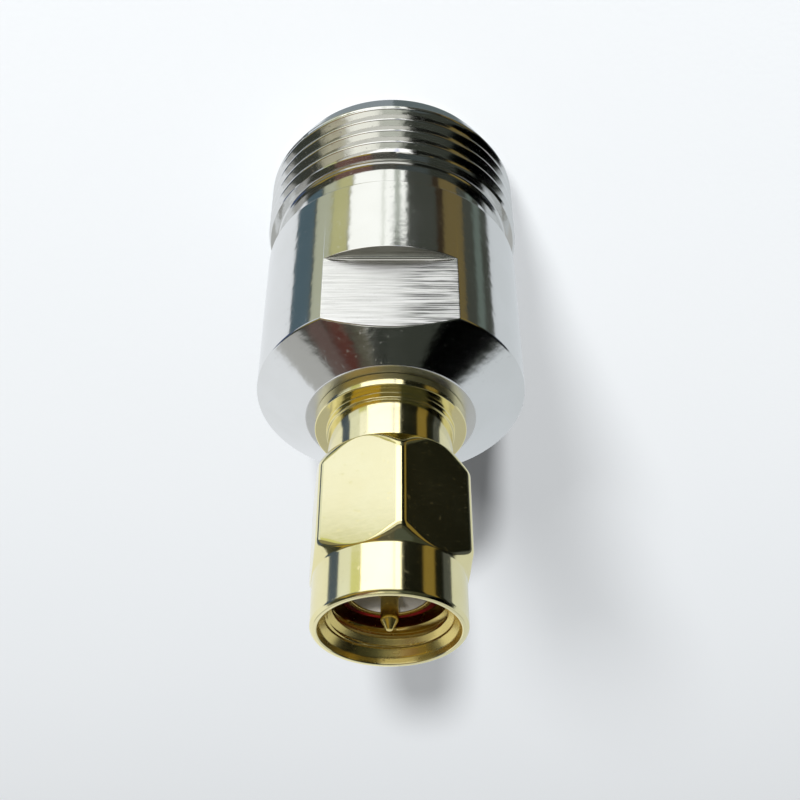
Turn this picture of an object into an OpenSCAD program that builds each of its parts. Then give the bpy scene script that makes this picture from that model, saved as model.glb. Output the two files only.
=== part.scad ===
// Coaxial adapter: an N jack on a turned nickel barrel with two wrench flats,
// joined to an SMA plug with a captive hex coupling nut.
// It stands on the N face with the axis along +Z. Millimetres.

/* [N jack shell] */
// Diameter at the N face, where the tapered lead of the thread starts
n_lip_d = 14.1; // [13.4:0.1:14.8]
// Length of the tapered lead from the N face to the first crest
n_lip_len = 1.85; // [1.2:0.05:2.4]
// Crest diameter of the 5/8-24 coupling thread
n_thread_d = 15.7; // [15.5:0.01:15.87]
// Length from the lead to the wall behind the thread
n_thread_len = 4.3; // [3.5:0.05:6]
// Diameter of the turned relief behind the thread
n_relief_d = 14.2; // [13.6:0.1:14.8]
// Length of the relief
n_relief_len = 2.2; // [1.6:0.05:3]
// Diameter of the barrel
barrel_d = 15.3; // [15:0.05:16]
// Length of the barrel up to the shoulder
barrel_len = 10.05; // [8:0.05:12]
// Axial length of the cone at the shoulder
cone_len = 1.67; // [1:0.01:2.5]
// Diameter where the cone ends in a flat ring
cone_end_d = 9.6; // [9.2:0.1:10.4]
// Width across the two wrench flats
flat_af = 13.4; // [12.6:0.1:14.2]
// Length of a wrench flat along the barrel
flat_len = 4.5; // [3:0.1:6]
// Chamfer on the turned outer edges
edge_chamfer = 0.15; // [0.05:0.01:0.3]
// Fillet leg at the foot of the wall behind the thread
root_chamfer = 0.2; // [0.1:0.05:0.5]

/* [N jack interface] */
// Diameter of the mouth that takes the mating plug
n_bore_d = 8.1; // [8.03:0.01:8.13]
// Depth of the mouth to the reference plane
n_bore_depth = 9.1; // [9.04:0.01:9.19]
// Chamfer at the mouth
n_mouth_chamfer = 0.5; // [0.2:0.05:0.8]
// Inside diameter of the outer conductor behind the reference plane
n_line_d = 7.0; // [6.9:0.05:7.1]
// Length of the outer conductor land
n_line_len = 1.9; // [1.2:0.1:3]
// Diameter of the rear bore that takes the insulator and the plug body
rear_bore_d = 8.0; // [7.6:0.1:8.4]

/* [N centre contact] */
// Outside diameter of the centre socket
socket_d = 3.04; // [3:0.01:3.1]
// Distance from the N face back to the socket tip
socket_recess = 4.2; // [4:0.05:4.8]
// Diameter of the contact hole in the socket
socket_hole_d = 1.64; // [1.6:0.01:1.68]
// Depth of the contact hole
socket_hole_depth = 4.6; // [4:0.1:5]
// Width of the four slots that spring the socket
slot_w = 0.24; // [0.18:0.01:0.28]
// Length of the slots
slot_len = 3.4; // [2.5:0.1:3.8]
// Chamfer on the socket tip
socket_chamfer = 0.25; // [0.1:0.05:0.4]
// Diameter of the contact shank inside the insulator
shank_d = 2.1; // [1.9:0.05:2.4]
// Length of the contact shank behind the socket
shank_len = 5.7; // [4:0.1:6.2]
// Depth of the rear hole that takes the pin stub
stub_depth = 2.5; // [1.5:0.1:3]

/* [SMA centre contact] */
// Diameter of the pin stub in the rear hole of the socket contact
stub_d = 0.95; // [0.8:0.05:1.1]
// Diameter of the pin inside its insulator
core_d = 1.27; // [1.2:0.01:1.35]
// Diameter of the pin tip
tip_d = 0.914; // [0.9:0.001:0.93]
// Length of the pin tip beyond the insulator face
tip_len = 2.05; // [1.8:0.05:2.3]
// Length of the taper at the end of the pin
tip_taper = 0.55; // [0.3:0.05:0.8]
// Diameter of the small flat at the point of the pin
tip_point_d = 0.3; // [0.2:0.05:0.5]

/* [Insulators] */
// Diameter of the plug insulator
dielectric_d = 4.1; // [4:0.01:4.14]
// Step of the jack insulator back from the reference plane
insulator_recess = 0.2; // [0.1:0.05:0.4]
// Step of the plug insulator back from the ferrule rim
face_recess = 0.05; // [0.02:0.01:0.1]

/* [SMA plug body] */
// Length of the shank pressed into the shell
press_len = 4.0; // [3:0.1:5]
// Diameter of the flange that seats on the shell
flange_d = 8.5; // [8.3:0.1:9]
// Thickness of the flange
flange_len = 0.78; // [0.5:0.02:1]
// Diameter of the small ring in front of the flange
step_d = 7.14; // [7:0.02:7.4]
// Thickness of the small ring
step_len = 0.35; // [0.2:0.05:0.5]
// Diameter of the neck between the flange and the nut
neck_d = 6.9; // [6.4:0.05:6.96]
// Length of the neck
neck_len = 2.6; // [2:0.05:4]
// Diameter of the spigot that carries the nut
spigot_d = 5.44; // [5.3:0.02:5.6]
// Length of the spigot to the gasket seat
spigot_len = 6.0; // [4.5:0.1:7]
// Outside diameter of the ferrule
ferrule_d = 4.6; // [4.5:0.01:4.6]
// Length of the ferrule beyond the gasket seat
ferrule_len = 1.3; // [1:0.05:1.9]
// Diameter at the foot of the snap ring groove
ring_groove_d = 4.7; // [4.6:0.02:4.8]

/* [Coupling nut] */
// Width across the flats of the hex
nut_af = 8.0; // [7.8:0.05:8.4]
// Overall length of the nut
nut_len = 9.35; // [8:0.05:10]
// Diameter of the round collar at the mouth
collar_d = 7.92; // [7.6:0.02:7.96]
// Length of the collar
collar_len = 2.8; // [2:0.1:3.5]
// Axial length of the front chamfer of the hex
hex_front_chamfer = 0.75; // [0.4:0.05:1]
// Axial length of the rear chamfer of the hex
hex_rear_chamfer = 1.15; // [0.5:0.05:1.4]
// Diameter of the rear face inside the rear chamfer
nut_rear_d = 7.95; // [7.6:0.05:8.4]
// Chamfer on the outer edge of the mouth
collar_chamfer = 0.14; // [0.05:0.01:0.3]
// Diameter of the countersunk mouth
mouth_d = 7.2; // [6.8:0.05:7.5]
// Depth of the countersink
mouth_depth = 0.3; // [0.2:0.02:0.6]
// Minor diameter of the 1/4-36 thread in the nut
nut_thread_d = 5.66; // [5.6:0.01:5.8]
// Length of the plain bore between the countersink and the thread
mouth_bore_len = 0.5; // [0.3:0.05:0.7]
// Length of the thread behind the plain bore
nut_thread_len = 1.1; // [0.9:0.05:1.4]
// Diameter of the relief behind the thread
nut_relief_d = 6.4; // [6.3:0.05:6.6]
// Length of the relief behind the thread
nut_relief_len = 0.8; // [0.5:0.05:1.2]
// Thickness of the web behind the snap ring
nut_web = 1.0; // [0.6:0.05:1.4]
// Turn of the nut about the axis at rest, in degrees
nut_turn = 22.5; // [0:0.5:59.5]

/* [Snap ring] */
// Outside diameter of the snap ring
snap_od = 5.96; // [5.8:0.02:6.1]
// Width of the snap ring along the axis
snap_w = 0.5; // [0.4:0.02:0.6]
// Opening in the snap ring
snap_gap = 1.2; // [0.8:0.1:1.6]

/* [Gasket] */
// Radial thickness of the gasket
gasket_wall = 0.4; // [0.3:0.02:0.44]
// Step of the gasket back from the ferrule rim
gasket_recess = 0.06; // [0.02:0.02:0.3]

/* [Clearances] */
// Radial gap between pieces that are fixed in one another
fit_gap = 0.02; // [0.01:0.01:0.04]
// Axial gap between faces that are seated on one another
seat_gap = 0.03; // [0.01:0.01:0.05]
// Radial gap of the pieces that turn
turn_gap = 0.06; // [0.04:0.01:0.1]
// Axial gap on each side of the snap ring in its groove
side_gap = 0.05; // [0.03:0.01:0.08]
// Axial float of the nut and its snap ring
nut_float = 0.25; // [0.1:0.01:0.3]

/* [Hidden] */
$fn = 96;
eps = 0.01;
// Overrun of a cut past the face that it opens
cut_over = 1;
// Stations along the axis, from the N face
z_thread = n_lip_len;
z_wall = z_thread + n_thread_len;
z_barrel = z_wall + n_relief_len;
z_shoulder = z_barrel + barrel_len;
z_end = z_shoulder + cone_len;
z_land = n_bore_depth;
z_seat = z_land + n_line_len;
z_press = z_end - press_len;
z_step = z_end + seat_gap + flange_len;
z_neck = z_step + step_len;
z_spigot = z_neck + neck_len;
z_gasket = z_spigot + spigot_len;
z_rim = z_gasket + ferrule_len;
z_nut = z_spigot + side_gap;
z_mouth = z_nut + nut_len;
z_collar = z_mouth - collar_len;
z_snap = z_nut + nut_web + side_gap;
z_face = z_rim - face_recess;
z_socket = socket_recess;
z_insulator = z_land + insulator_recess;
z_shank = z_insulator - seat_gap;
z_joint = z_shank + shank_len;
z_stub = z_joint - stub_depth + seat_gap;
snap_id = ring_groove_d + 2 * turn_gap;
nut_hole_d = spigot_d + 2 * turn_gap;
nut_groove_d = snap_od + 2 * turn_gap;
hex_corner_d = nut_af / cos(30);

// Sub-part to draw, or all of them

nickel = [0.78, 0.79, 0.79];
gold = [0.86, 0.69, 0.32];
ptfe = [0.94, 0.94, 0.91];
silicone = [0.52, 0.07, 0.06];

// A turned tube between two stations
module tube(d_out, d_in, z0, z1) {
    translate([0, 0, z0]) difference() {
        cylinder(d = d_out, h = z1 - z0);
        translate([0, 0, -eps]) cylinder(d = d_in, h = z1 - z0 + 2 * eps);
    }
}

// Outer profile of the shell, turned about the axis
module shell_profile() {
    polygon([
        [0, 0],
        [n_lip_d / 2 - edge_chamfer, 0],
        [n_lip_d / 2, edge_chamfer],
        [n_thread_d / 2, z_thread],
        [n_thread_d / 2, z_wall - edge_chamfer],
        [n_thread_d / 2 - edge_chamfer, z_wall],
        [n_relief_d / 2 + root_chamfer, z_wall],
        [n_relief_d / 2, z_wall + root_chamfer],
        [n_relief_d / 2, z_barrel],
        [barrel_d / 2 - edge_chamfer, z_barrel],
        [barrel_d / 2, z_barrel + edge_chamfer],
        [barrel_d / 2, z_shoulder],
        [cone_end_d / 2, z_end],
        [0, z_end]
    ]);
}

// Stepped bore of the shell
module shell_bore() {
    translate([0, 0, -eps]) cylinder(d = n_bore_d, h = z_land + eps);
    translate([0, 0, -eps]) cylinder(d1 = n_bore_d + 2 * (n_mouth_chamfer + eps), d2 = n_bore_d,
                                     h = n_mouth_chamfer + eps);
    cylinder(d = n_line_d, h = z_seat + eps);
    translate([0, 0, z_seat]) cylinder(d = rear_bore_d, h = z_end - z_seat + eps);
}

module n_shell() {
    color(nickel) difference() {
        rotate_extrude() shell_profile();
        shell_bore();
        for (side = [0, 1]) rotate([0, 0, 180 * side])
            translate([-barrel_d, flat_af / 2, z_shoulder - flat_len])
                cube([2 * barrel_d, barrel_d, flat_len + cone_len + cut_over]);
    }
}

module n_insulator() {
    color(ptfe) difference() {
        union() {
            translate([0, 0, z_insulator])
                cylinder(d = n_line_d - 2 * fit_gap, h = z_press - seat_gap - z_insulator);
            translate([0, 0, z_seat + seat_gap])
                cylinder(d = rear_bore_d - 2 * fit_gap, h = z_press - z_seat - 2 * seat_gap);
        }
        translate([0, 0, z_insulator - eps]) cylinder(d = shank_d + 2 * fit_gap, h = z_press - z_insulator);
    }
}

module n_socket_contact() {
    color(gold) difference() {
        rotate_extrude() polygon([
            [0, z_socket],
            [socket_d / 2 - socket_chamfer, z_socket],
            [socket_d / 2, z_socket + socket_chamfer],
            [socket_d / 2, z_shank],
            [shank_d / 2, z_shank],
            [shank_d / 2, z_joint],
            [0, z_joint]
        ]);
        translate([0, 0, z_socket - eps]) cylinder(d = socket_hole_d, h = socket_hole_depth + eps);
        for (turn = [45, 135]) rotate([0, 0, turn])
            translate([-socket_d, -slot_w / 2, z_socket - eps]) cube([2 * socket_d, slot_w, slot_len + eps]);
        translate([0, 0, z_joint - stub_depth]) cylinder(d = stub_d + 2 * fit_gap, h = stub_depth + eps);
    }
}

module sma_body() {
    color(gold) difference() {
        rotate_extrude() polygon([
            [dielectric_d / 2, z_press],
            [rear_bore_d / 2 - fit_gap - edge_chamfer, z_press],
            [rear_bore_d / 2 - fit_gap, z_press + edge_chamfer],
            [rear_bore_d / 2 - fit_gap, z_end + seat_gap],
            [flange_d / 2, z_end + seat_gap],
            [flange_d / 2, z_step],
            [step_d / 2, z_step],
            [step_d / 2, z_neck],
            [neck_d / 2, z_neck],
            [neck_d / 2, z_spigot],
            [spigot_d / 2, z_spigot],
            [spigot_d / 2, z_gasket],
            [ferrule_d / 2, z_gasket],
            [ferrule_d / 2, z_rim],
            [dielectric_d / 2, z_rim]
        ]);
        tube(spigot_d + cut_over, ring_groove_d, z_snap - side_gap, z_snap + snap_w + nut_float + side_gap);
    }
}

module sma_insulator() {
    color(ptfe) tube(dielectric_d - 2 * fit_gap, core_d + 2 * fit_gap, z_press, z_face);
}

module sma_pin() {
    color(gold) rotate_extrude() polygon([
        [0, z_stub],
        [stub_d / 2, z_stub],
        [stub_d / 2, z_joint + seat_gap],
        [core_d / 2, z_joint + seat_gap],
        [core_d / 2, z_face],
        [tip_d / 2, z_face],
        [tip_d / 2, z_face + tip_len - tip_taper],
        [tip_point_d / 2, z_face + tip_len],
        [0, z_face + tip_len]
    ]);
}

// Outer envelope of the nut: chamfered hex length and round collar
module nut_envelope() {
    polygon([
        [0, z_nut],
        [nut_rear_d / 2, z_nut],
        [hex_corner_d / 2 + eps, z_nut + hex_rear_chamfer],
        [hex_corner_d / 2 + eps, z_collar - hex_front_chamfer],
        [collar_d / 2, z_collar],
        [collar_d / 2, z_mouth - collar_chamfer],
        [collar_d / 2 - collar_chamfer, z_mouth],
        [0, z_mouth]
    ]);
}

// Stepped bore of the nut
module nut_bore() {
    z_lead = z_mouth - mouth_depth - mouth_bore_len;
    z_relief = z_lead - nut_thread_len - nut_relief_len;
    translate([0, 0, z_nut - eps]) cylinder(d = nut_hole_d, h = z_relief - z_nut + 2 * eps);
    translate([0, 0, z_snap - side_gap]) cylinder(d = nut_groove_d, h = snap_w + 2 * side_gap);
    translate([0, 0, z_relief]) cylinder(d = nut_relief_d, h = nut_relief_len);
    translate([0, 0, z_relief]) cylinder(d = nut_thread_d, h = z_mouth - z_relief + eps);
    translate([0, 0, z_lead]) cylinder(d = nut_relief_d, h = mouth_bore_len + eps);
    translate([0, 0, z_mouth - mouth_depth]) cylinder(d1 = nut_relief_d, d2 = mouth_d, h = mouth_depth + eps);
}

module coupling_nut() {
    color(gold) difference() {
        intersection() {
            rotate_extrude() nut_envelope();
            translate([0, 0, z_nut]) rotate([0, 0, nut_turn])
                cylinder(d = hex_corner_d, h = nut_len, $fn = 6);
        }
        nut_bore();
    }
}

module snap_ring() {
    color(gold) difference() {
        tube(snap_od, snap_id, z_snap, z_snap + snap_w);
        translate([0, -snap_gap / 2, z_snap - eps]) cube([snap_od, snap_gap, snap_w + 2 * eps]);
    }
}

module gasket() {
    color(silicone) tube(ferrule_d + 2 * (fit_gap + gasket_wall), ferrule_d + 2 * fit_gap,
                         z_gasket + seat_gap, z_rim - gasket_recess);
}

n_shell();
n_insulator();
n_socket_contact();
sma_body();
sma_insulator();
sma_pin();
coupling_nut();
snap_ring();
gasket();
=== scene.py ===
"""Looks of the coaxial adapter: turned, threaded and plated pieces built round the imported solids.

Sizes in the classes are millimetres, measured along the axis from the face of the N jack.
Meshes are in metres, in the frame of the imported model.
"""

import logging
import math
from dataclasses import dataclass
from enum import Enum
from typing import Any, Mapping, Optional, Sequence, Union

import bmesh
import bpy
import numpy as np
from mathutils import Matrix, Vector


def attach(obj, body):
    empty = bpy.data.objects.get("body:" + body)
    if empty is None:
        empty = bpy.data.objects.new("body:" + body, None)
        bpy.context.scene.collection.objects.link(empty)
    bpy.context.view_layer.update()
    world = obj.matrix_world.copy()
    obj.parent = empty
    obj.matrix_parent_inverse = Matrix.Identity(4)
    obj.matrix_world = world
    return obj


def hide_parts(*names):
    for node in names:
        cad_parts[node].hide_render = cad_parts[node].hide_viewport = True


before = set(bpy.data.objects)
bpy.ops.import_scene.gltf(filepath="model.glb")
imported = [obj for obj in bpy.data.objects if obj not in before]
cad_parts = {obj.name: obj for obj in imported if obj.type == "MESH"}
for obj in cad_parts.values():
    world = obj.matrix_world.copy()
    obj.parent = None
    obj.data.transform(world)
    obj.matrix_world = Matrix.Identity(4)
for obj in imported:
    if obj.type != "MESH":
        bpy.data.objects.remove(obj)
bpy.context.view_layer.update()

LOG = logging.getLogger("adapter")

MM = 0.001
INCH = 25.4
TURN = 2.0 * math.pi

WELD = 1e-7
SHARP_ANGLE = math.radians(32.0)
TINY_LENGTH = 1e-9
LEAST_SINE = 1e-3
LEVEL_DIGITS = 9

EASE_STEPS = (0.2, 0.4, 0.6, 0.8)
EASE_ROOM = 0.46
GUARD_REACH = 1.4
GUARD_ROOM = 0.49
COLUMN_CLEARANCE = 0.3

Span = Union[float, np.ndarray]
Limits = tuple[float, float]
Place = tuple[float, float, float]
Colour = tuple[float, float, float]
Rgba = tuple[float, float, float, float]


def rgba(colour: Colour) -> Rgba:
    """The colour as an opaque one, for a socket."""
    return (*colour, 1.0)


class Body(Enum):
    """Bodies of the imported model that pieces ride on."""

    ADAPTER = "adapter_body"
    SNAP_RING = "snap_ring_body"
    NUT = "nut_body"


class Slot(Enum):
    """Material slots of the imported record."""

    NICKEL = "nickel"
    GOLD = "gold"
    PTFE = "ptfe"
    SILICONE = "silicone"


class Wire:
    """A shader socket that takes part in Python arithmetic."""

    def __init__(self, sheet: "NodeSheet", socket: Optional[bpy.types.NodeSocket]) -> None:
        """Keeps the socket and the sheet that its nodes go on."""
        self.sheet = sheet
        self.socket = socket

    def beside(self, name: str) -> "Wire":
        """Another output of the same node."""
        return Wire(self.sheet, self.socket.node.outputs[name])

    def __add__(self, other: "Feed") -> "Wire":
        """Sum of two values."""
        return self.sheet.math("ADD", self, other)

    def __radd__(self, other: "Feed") -> "Wire":
        """Sum with the plain number first."""
        return self.sheet.math("ADD", other, self)

    def __sub__(self, other: "Feed") -> "Wire":
        """Difference of two values."""
        return self.sheet.math("SUBTRACT", self, other)

    def __rsub__(self, other: "Feed") -> "Wire":
        """Difference with the plain number first."""
        return self.sheet.math("SUBTRACT", other, self)

    def __mul__(self, other: "Feed") -> "Wire":
        """Product of two values."""
        return self.sheet.math("MULTIPLY", self, other)

    def __rmul__(self, other: "Feed") -> "Wire":
        """Product with the plain number first."""
        return self.sheet.math("MULTIPLY", other, self)

    def __pow__(self, other: "Feed") -> "Wire":
        """Power of two values."""
        return self.sheet.math("POWER", self, other)

    def __neg__(self) -> "Wire":
        """The value with its sign turned."""
        return self.sheet.math("MULTIPLY", self, -1.0)

    def __abs__(self) -> "Wire":
        """The value without its sign."""
        return self.sheet.math("ABSOLUTE", self, 0.0)


Feed = Union[Wire, float, Sequence[float]]


class NodeSheet:
    """Adds nodes to one shader tree."""

    def __init__(self, tree: bpy.types.NodeTree) -> None:
        """Takes over a tree and clears it."""
        self.tree = tree
        tree.nodes.clear()

    def node(
        self,
        kind: str,
        settings: Optional[Mapping[str, Any]] = None,
        sockets: Optional[Mapping[Union[str, int], Feed]] = None,
        out: Union[str, int] = 0,
    ) -> Wire:
        """Adds a node, sets it and feeds it.

        Args:
            kind: Blender's name of the node type.
            settings: Properties that are set first, such as a Math node's operation.
            sockets: Values or wires by input name or number.
            out: Output that the returned wire starts from.

        Returns:
            The wire of that output, with no socket where the node has none.
        """
        made = self.tree.nodes.new(kind)
        for name, value in (settings or {}).items():
            setattr(made, name, value)
        for name, value in (sockets or {}).items():
            if isinstance(value, Wire):
                self.tree.links.new(value.socket, made.inputs[name])
            else:
                made.inputs[name].default_value = value
        return Wire(self, made.outputs[out] if len(made.outputs) else None)

    def math(self, operation: str, first: Feed, second: Feed) -> Wire:
        """One Math node on two values."""
        return self.node("ShaderNodeMath", {"operation": operation}, {0: first, 1: second})

    def between(self, value: Wire, low: float, high: float) -> Wire:
        """Smooth 0 to 1 as the value goes from low to high."""
        return self.node(
            "ShaderNodeMapRange",
            {"interpolation_type": "SMOOTHSTEP"},
            {"Value": value, "From Min": low, "From Max": high},
        )

    def blend(self, factor: Feed, first: Feed, second: Feed) -> Wire:
        """Mix of two colours."""
        sockets = {0: factor, 6: first, 7: second}
        return self.node("ShaderNodeMix", {"data_type": "RGBA"}, sockets, out=2)

    def noise(self, vector: Wire, scale: float, detail: float) -> Wire:
        """Three-dimensional noise, from 0 to 1."""
        sockets = {"Vector": vector, "Scale": scale, "Detail": detail}
        return self.node("ShaderNodeTexNoise", None, sockets)

    def rings(self, place: Wire, detail: float) -> Wire:
        """Noise along one line, from 0 to 1, such as a turning tool leaves."""
        sockets = {"W": place, "Scale": 1.0, "Detail": detail}
        return self.node("ShaderNodeTexNoise", {"noise_dimensions": "1D"}, sockets)

    def streaks(self, x: Feed, y: Feed, z: Feed, detail: float) -> Wire:
        """Noise on a point that has been stretched axis by axis."""
        point = self.node("ShaderNodeCombineXYZ", None, {"X": x, "Y": y, "Z": z})
        return self.noise(point, 1.0, detail)

    def split(self, vector: Wire) -> tuple[Wire, Wire, Wire]:
        """The three parts of a vector."""
        x = self.node("ShaderNodeSeparateXYZ", None, {"Vector": vector}, out="X")
        return x, x.beside("Y"), x.beside("Z")

    @staticmethod
    def off_axis(x: Wire, y: Wire) -> Wire:
        """Distance of a point from the axis."""
        return (x * x + y * y) ** 0.5


@dataclass(frozen=True)
class Finish:
    """A surface finish that can dress a piece."""

    name: str
    slot: Slot
    colour: Colour
    deep_colour: Colour
    roughness: float

    def material(self) -> bpy.types.Material:
        """The finish's material, made at its first use."""
        found = bpy.data.materials.get(self.name)
        if found is None:
            found = bpy.data.materials.new(self.name)
            found.use_nodes = True
            self.paint(NodeSheet(found.node_tree))
        return found

    def dress(self, piece: bpy.types.Object) -> None:
        """Gives a piece this finish only."""
        piece.data.materials.clear()
        piece.data.materials.append(self.material())

    def paint(self, sheet: NodeSheet) -> None:
        """Lays the nodes of the finish.

        Args:
            sheet: Cleared sheet of the material.
        """
        raise NotImplementedError

    @staticmethod
    def point(sheet: NodeSheet) -> Wire:
        """The point on the surface, in millimetres."""
        place = sheet.node("ShaderNodeTexCoord", out="Object")
        return sheet.node(
            "ShaderNodeVectorMath", {"operation": "SCALE"}, {0: place, "Scale": 1.0 / MM}
        )

    @staticmethod
    def facing(sheet: NodeSheet) -> Wire:
        """The way the surface faces, in the piece's own axes."""
        return sheet.node("ShaderNodeTexCoord", out="Normal")

    @staticmethod
    def close(sheet: NodeSheet, sockets: Mapping[Union[str, int], Feed], height: Wire) -> None:
        """Ends a material.

        Args:
            sheet: Sheet of the material.
            sockets: Sockets of the shader, apart from its normal.
            height: Relief of the surface in millimetres.
        """
        bump = sheet.node("ShaderNodeBump", None, {"Strength": 1.0, "Distance": MM, "Height": height})
        shader = sheet.node("ShaderNodeBsdfPrincipled", None, {**sockets, "Normal": bump})
        sheet.node("ShaderNodeOutputMaterial", None, {"Surface": shader})


@dataclass
class Coat:
    """A plating while its nodes are laid: places on the piece, and what the plating shows so far."""

    sheet: NodeSheet
    x: Wire
    y: Wire
    z: Wire
    radius: Wire
    tilt: Wire
    colour: Wire
    rough: Wire
    relief: Wire


@dataclass(frozen=True)
class Working:
    """Work on one region of a plated piece that changes how its plating looks."""

    start: float
    roughness: float

    def lay(self, coat: Coat) -> None:
        """Lays the working over a plating.

        Args:
            coat: The plating so far, which the working changes.
        """
        raise NotImplementedError


@dataclass(frozen=True)
class MilledFlats(Working):
    """Streaks along X and dark score marks on a pair of milled flats, with painted shade that darkens
    them towards -X.
    """

    half_width: float
    relief: float
    edge: Limits = (0.02, 0.005)
    end_blur: float = 0.04
    broad_rates: Limits = (0.22, 3.2)
    fine_rates: Limits = (0.4, 14.0)
    fine_share: float = 0.5
    fine_roughness: float = 0.2
    score_limits: Limits = (0.4, 0.62)
    # Colour of the score marks, and of the painted shade that grows towards -X.
    score_and_shade_colour: Colour = (0.1, 0.105, 0.1)
    shade_ramp_limits: Limits = (-0.3, 2.0)
    shade_ramp_gain: float = 0.75
    score_least_strength: float = 0.15

    def lay(self, coat: Coat) -> None:
        """Lays streaks in the relief and dark score marks, blended in more strongly towards -X as
        painted shade.
        """
        sheet = coat.sheet
        on_flat = sheet.between(abs(coat.y), *(self.half_width - inset for inset in self.edge))
        on_flat = on_flat * sheet.between(coat.z, self.start, self.start + self.end_blur)
        broad = sheet.streaks(coat.x * self.broad_rates[0], coat.y, coat.z * self.broad_rates[1], 2.0)
        fine = sheet.streaks(coat.x * self.fine_rates[0], coat.y, coat.z * self.fine_rates[1], 3.0)
        milled = (broad - 0.5) * self.relief + (fine - 0.5) * (self.fine_share * self.relief)
        coat.relief = coat.relief * (1.0 - on_flat) + milled * on_flat
        coat.rough = coat.rough + on_flat * (self.roughness + (fine - 0.5) * self.fine_roughness)
        # Painted shade: the score marks blend in more strongly towards -X and darken that half of the
        # flats; the even share on the other side is the real score marks.
        score_and_shade_strength = sheet.between(-coat.x, *self.shade_ramp_limits) * self.shade_ramp_gain + self.score_least_strength
        score_and_shade_mask = on_flat * sheet.between(fine, *self.score_limits) * score_and_shade_strength
        coat.colour = sheet.blend(score_and_shade_mask, coat.colour, rgba(self.score_and_shade_colour))


@dataclass(frozen=True)
class FacedEnd(Working):
    """A duller end face, square to the axis."""

    end_blur: float = 0.1
    square: Limits = (0.93, 0.97)

    def lay(self, coat: Coat) -> None:
        """Roughens the face."""
        on_face = coat.sheet.between(coat.z, self.start, self.start + self.end_blur)
        on_face = on_face * coat.sheet.between(abs(coat.tilt), *self.square)
        coat.rough = coat.rough + on_face * self.roughness


@dataclass(frozen=True)
class ThreadedBore(Working):
    """A duller surface inside a bore, with a darker, deeper gold there that is painted shade."""

    radius: float
    colour: Colour
    end_blur: float = 0.1
    edge: float = 0.04

    def lay(self, coat: Coat) -> None:
        """Roughens the bore and darkens its colour as painted shade of the recess."""
        bore_rough_and_shade = coat.sheet.between(coat.z, self.start, self.start + self.end_blur)
        outside = coat.sheet.between(coat.radius, self.radius - self.edge, self.radius)
        bore_rough_and_shade = bore_rough_and_shade * (1.0 - outside)
        coat.rough = coat.rough + bore_rough_and_shade * self.roughness
        # Painted shade: the darker, deeper gold inside the bore stands in for the shade within it.
        coat.colour = coat.sheet.blend(bore_rough_and_shade, coat.colour, rgba(self.colour))


@dataclass(frozen=True)
class PlatedMetal(Finish):
    """Bright plating on turned metal: faint tool rings, a fine orange peel and a few specks."""

    peel_relief: float
    grain_relief: float
    peel_rate: float = 2.6
    grain_rate: float = 9.0
    ring_rate: float = 7.0
    ring_relief: float = 0.0002
    ring_roughness: float = 0.04
    cloud_rate: float = 0.35
    cloud_limits: Limits = (0.3, 0.75)
    cloud_roughness: float = 0.08
    speck_rate: float = 5.0
    speck_limits: Limits = (0.76, 0.8)
    speck_depth: float = 0.0003
    speck_roughness: float = 0.1
    end_limits: Limits = (0.3, 0.6)
    workings: tuple[Working, ...] = ()

    def paint(self, sheet: NodeSheet) -> None:
        """Lays rings, peel, grain, specks and the workings of the piece."""
        point = self.point(sheet)
        x, y, z = sheet.split(point)
        radius = sheet.off_axis(x, y)
        _, _, tilt = sheet.split(self.facing(sheet))
        on_end = sheet.between(abs(tilt), *self.end_limits)
        rings = sheet.rings((radius * on_end + z * (1.0 - on_end)) * self.ring_rate, 3.0) - 0.5
        peel = sheet.noise(point, self.peel_rate, 1.0) - 0.5
        grain = sheet.noise(point, self.grain_rate, 2.0) - 0.5
        cloud = sheet.noise(point, self.cloud_rate, 3.0)
        specks = sheet.between(sheet.noise(point, self.speck_rate, 0.0), *self.speck_limits)
        relief = rings * self.ring_relief + peel * self.peel_relief - specks * self.speck_depth
        relief = relief + grain * self.grain_relief
        rough = self.roughness + (cloud - 0.5) * self.cloud_roughness
        rough = rough + rings * self.ring_roughness + specks * self.speck_roughness
        pale = sheet.between(cloud, *self.cloud_limits)
        colour = sheet.blend(pale, rgba(self.deep_colour), rgba(self.colour))
        coat = Coat(sheet, x, y, z, radius, tilt, colour, rough, relief)
        for working in self.workings:
            working.lay(coat)
        sockets = {"Base Color": coat.colour, "Metallic": 1.0, "Roughness": coat.rough}
        self.close(sheet, sockets, coat.relief)


@dataclass(frozen=True)
class MouldedPlastic(Finish):
    """A plain polymer: soft mottling, fine tooth and faint turning rings."""

    tooth_rate: float = 14.0
    tooth_relief: float = 0.004
    tooth_roughness: float = 0.2
    ring_rate: float = 9.0
    ring_relief: float = 0.002
    cloud_rate: float = 1.3
    cloud_limits: Limits = (0.3, 0.7)
    cloud_roughness: float = 0.1
    sheen_level: float = 0.5

    def paint(self, sheet: NodeSheet) -> None:
        """Lays mottling, tooth and rings."""
        point = self.point(sheet)
        x, y, z = sheet.split(point)
        radius = sheet.off_axis(x, y)
        rings = sheet.rings((radius + z) * self.ring_rate, 2.0) - 0.5
        tooth = sheet.noise(point, self.tooth_rate, 3.0) - 0.5
        cloud = sheet.noise(point, self.cloud_rate, 3.0)
        pale = sheet.between(cloud, *self.cloud_limits)
        colour = sheet.blend(pale, rgba(self.deep_colour), rgba(self.colour))
        relief = tooth * self.tooth_relief + rings * self.ring_relief
        rough = self.roughness + tooth * self.tooth_roughness + (cloud - 0.5) * self.cloud_roughness
        sockets = {"Base Color": colour, "Roughness": rough, "Specular IOR Level": self.sheen_level}
        self.close(sheet, sockets, relief)


@dataclass(frozen=True)
class Corner:
    """One corner of a turned profile, eased off over a short length on each side."""

    r: Span
    z: Span
    ease: float = 0.0


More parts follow.
